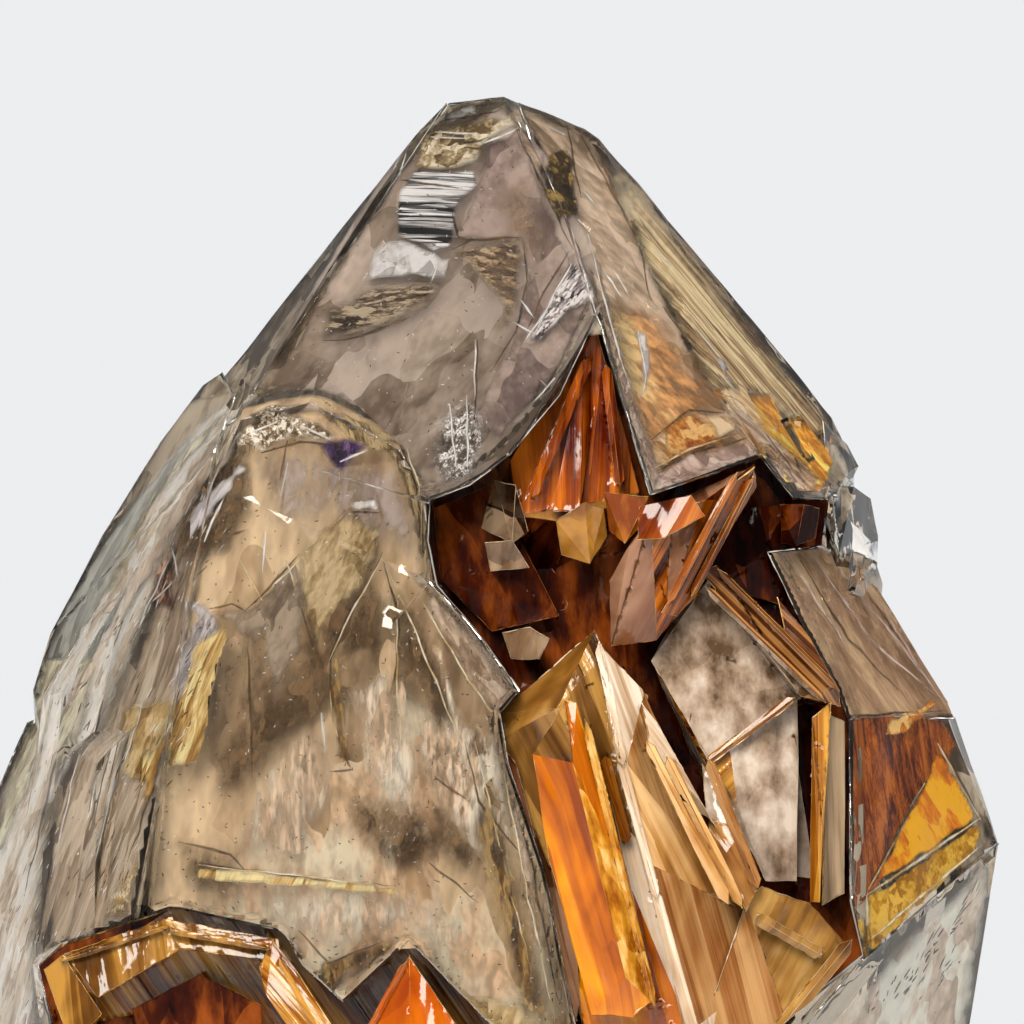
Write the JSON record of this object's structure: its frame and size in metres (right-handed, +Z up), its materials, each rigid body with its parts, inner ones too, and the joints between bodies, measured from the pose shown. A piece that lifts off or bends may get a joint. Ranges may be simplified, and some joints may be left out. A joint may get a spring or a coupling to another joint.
{
  "type": "citrine crystal point",
  "caption": "Clear smoky quartz crystal point with golden crystals in its hollows, cut off flat at its foot so that it stands upright.",
  "frame": {"origin": "on the flat sawn foot, under the middle of the point", "axes": "+Z up along the crystal's long axis, the front with the open hollows faces -Y, +X to the viewer's right"},
  "size_m": [0.0526, 0.0407, 0.0666],
  "materials": {
    "clear_quartz": "natural growth faces, glassy, smoky grey-brown with veils",
    "golden_quartz": "natural growth faces, glassy, golden orange",
    "amber_quartz": "natural growth faces, glassy, deep amber"
  },
  "bodies": {
    "root": {"crystal_point": "clear_quartz", "golden_crust": "golden_quartz", "lower_crust": "amber_quartz"}
  },
  "joints": []
}
